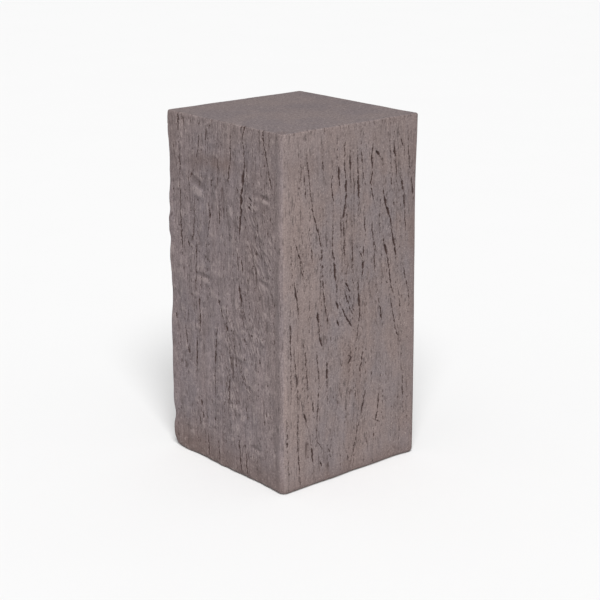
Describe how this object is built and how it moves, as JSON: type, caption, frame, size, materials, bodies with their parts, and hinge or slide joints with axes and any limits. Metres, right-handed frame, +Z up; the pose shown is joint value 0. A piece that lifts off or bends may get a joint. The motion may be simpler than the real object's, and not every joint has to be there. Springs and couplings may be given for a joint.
{
  "type": "wooden pedestal",
  "caption": "Squared weathered-timber block pedestal, much taller than wide, with hewn split sides, a flat display top and a flat underside it stands on.",
  "frame": {"origin": "middle of the flat underside", "axes": "+Z up along the grain; -Y is the smoother face with drying checks, -X the rough hewn face"},
  "size_m": [0.3039, 0.3099, 0.61],
  "materials": {
    "weathered_timber": "matt, weathered grey-brown"
  },
  "bodies": {
    "root": {"pedestal": "weathered_timber"}
  },
  "joints": []
}
